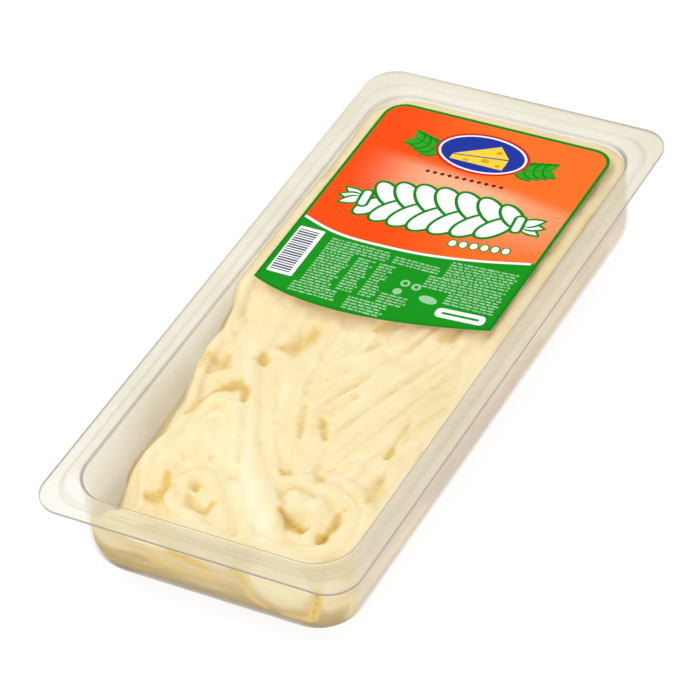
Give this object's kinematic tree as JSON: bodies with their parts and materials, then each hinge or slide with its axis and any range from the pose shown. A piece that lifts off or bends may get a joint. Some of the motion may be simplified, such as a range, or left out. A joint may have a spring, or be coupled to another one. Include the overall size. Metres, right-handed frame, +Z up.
{
  "type": "sealed tray of string cheese",
  "caption": "Clear rectangular thermoformed tray with a clear film sealed over its flange and a printed label on the film, filled with a tangled skein of pale string cheese.",
  "frame": {"origin": "middle of the underside of the tray's base", "axes": "+X across the pack, +Y along the pack towards the labelled end, +Z up out of the lid film"},
  "size_m": [0.095, 0.2, 0.0302],
  "materials": {
    "clear_sheet": "clear, glossy thermoformed sheet",
    "clear_film": "clear, glossy heat-sealed film",
    "label_print": "satin printed film in orange and green",
    "cheese": "moist, fibrous, slightly translucent cheese"
  },
  "bodies": {
    "root": {"tray": "clear_sheet", "lid_film": "clear_film", "label": "label_print", "cheese": "cheese"}
  },
  "joints": []
}
